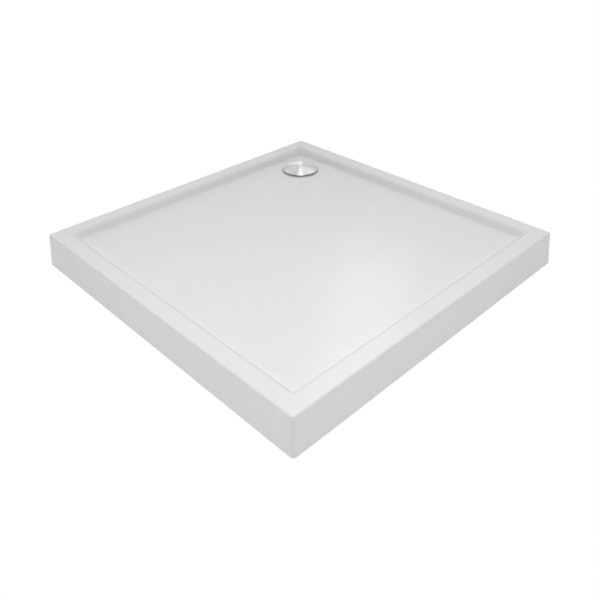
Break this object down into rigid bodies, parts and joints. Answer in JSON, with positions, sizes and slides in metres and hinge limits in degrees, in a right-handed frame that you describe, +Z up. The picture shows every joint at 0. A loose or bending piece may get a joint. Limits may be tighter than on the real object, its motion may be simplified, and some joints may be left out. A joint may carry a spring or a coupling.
{
  "type": "shower tray",
  "caption": "Square white shower tray with a closed apron, shallow sloping floor, corner waste with domed cover, trap below and screw-adjusted feet.",
  "frame": {"origin": "middle of the apron's bottom edge, on the floor the tray stands on", "axes": "+Z up; the waste is in the +X +Y corner, and the outlet points along -X"},
  "size_m": [0.9, 0.9, 0.086],
  "materials": {
    "acrylic": "white gloss",
    "laminate": "rough resin over glass strands",
    "board": "pressed chips",
    "timber": "sawn softwood",
    "zinc_steel": "bright zinc plate",
    "white_plastic": "moulded, satin",
    "black_plastic": "moulded, satin",
    "grey_plastic": "moulded, satin",
    "seal_rubber": "matt",
    "cover_metal": "bright, circular brushed"
  },
  "bodies": {
    "tray": {"acrylic_shell": "acrylic", "fibreglass_backing": "laminate", "floor_board": "board", "rim_batten_back_left": "timber", "rim_batten_back_right": "timber", "rim_batten_front_left": "timber", "rim_batten_front_right": "timber", "bracket_screws": "zinc_steel", "flange_ring": "white_plastic", "flange_gasket": "seal_rubber", "collar_gasket": "seal_rubber", "trap_body": "white_plastic", "outlet_union_nut": "white_plastic", "outlet_seal": "seal_rubber", "leg_bracket_front": "zinc_steel", "leg_bracket_left": "zinc_steel", "leg_bracket_right": "zinc_steel", "leg_bracket_centre": "zinc_steel", "leg_bracket_back": "zinc_steel"},
    "nuts_front": {"adjusting_nut_front": "zinc_steel", "lock_nut_front": "zinc_steel"},
    "foot_front": {"leg_rod_front": "zinc_steel", "foot_pad_front": "black_plastic"},
    "nuts_left": {"adjusting_nut_left": "zinc_steel", "lock_nut_left": "zinc_steel"},
    "foot_left": {"leg_rod_left": "zinc_steel", "foot_pad_left": "black_plastic"},
    "nuts_right": {"adjusting_nut_right": "zinc_steel", "lock_nut_right": "zinc_steel"},
    "foot_right": {"leg_rod_right": "zinc_steel", "foot_pad_right": "black_plastic"},
    "nuts_centre": {"adjusting_nut_centre": "zinc_steel", "lock_nut_centre": "zinc_steel"},
    "foot_centre": {"leg_rod_centre": "zinc_steel", "foot_pad_centre": "black_plastic"},
    "nuts_back": {"adjusting_nut_back": "zinc_steel", "lock_nut_back": "zinc_steel"},
    "foot_back": {"leg_rod_back": "zinc_steel", "foot_pad_back": "black_plastic"},
    "cup": {"seal_cup": "grey_plastic", "cup_o_ring": "seal_rubber"},
    "cover": {"waste_cover": "cover_metal", "cover_carrier": "grey_plastic"},
    "outlet": {"outlet_adaptor": "white_plastic"}
  },
  "joints": [
    {"name": "level_nut_front", "type": "hinge", "parent": "tray", "child": "nuts_front", "pos_m": [-0.2875, -0.2875, 0.024], "axis": [0, 0, 1], "range_deg": [0, 4800]},
    {"name": "level_foot_front", "type": "slide", "parent": "tray", "child": "foot_front", "axis": [0, 0, -1], "range_m": [0, 0.02]},
    {"name": "level_nut_left", "type": "hinge", "parent": "tray", "child": "nuts_left", "pos_m": [-0.2875, 0.2875, 0.024], "axis": [0, 0, 1], "range_deg": [0, 4800]},
    {"name": "level_foot_left", "type": "slide", "parent": "tray", "child": "foot_left", "axis": [0, 0, -1], "range_m": [0, 0.02]},
    {"name": "level_nut_right", "type": "hinge", "parent": "tray", "child": "nuts_right", "pos_m": [0.2875, -0.2875, 0.024], "axis": [0, 0, 1], "range_deg": [0, 4800]},
    {"name": "level_foot_right", "type": "slide", "parent": "tray", "child": "foot_right", "axis": [0, 0, -1], "range_m": [0, 0.02]},
    {"name": "level_nut_centre", "type": "hinge", "parent": "tray", "child": "nuts_centre", "pos_m": [0, 0, 0.024], "axis": [0, 0, 1], "range_deg": [0, 4800]},
    {"name": "level_foot_centre", "type": "slide", "parent": "tray", "child": "foot_centre", "axis": [0, 0, -1], "range_m": [0, 0.02]},
    {"name": "level_nut_back", "type": "hinge", "parent": "tray", "child": "nuts_back", "pos_m": [0.1835, 0.1835, 0.024], "axis": [0, 0, 1], "range_deg": [0, 4800]},
    {"name": "level_foot_back", "type": "slide", "parent": "tray", "child": "foot_back", "axis": [0, 0, -1], "range_m": [0, 0.02]},
    {"name": "cup_lift", "type": "slide", "parent": "tray", "child": "cup", "axis": [0, 0, 1], "range_m": [0, 0.06]},
    {"name": "cover_lift", "type": "slide", "parent": "cup", "child": "cover", "axis": [0, 0, 1], "range_m": [0, 0.06]},
    {"name": "outlet_swivel", "type": "hinge", "parent": "tray", "child": "outlet", "pos_m": [0.2275, 0.308, 0.0299], "axis": [0, 0, 1], "range_deg": [-8, 8]}
  ],
  "couplings": [
    {"joint": "level_nut_front", "follows": "level_foot_front", "rad_per_m": 4188.8},
    {"joint": "level_nut_left", "follows": "level_foot_left", "rad_per_m": 4188.8},
    {"joint": "level_nut_right", "follows": "level_foot_right", "rad_per_m": 4188.8},
    {"joint": "level_nut_centre", "follows": "level_foot_centre", "rad_per_m": 4188.8},
    {"joint": "level_nut_back", "follows": "level_foot_back", "rad_per_m": 4188.8}
  ]
}
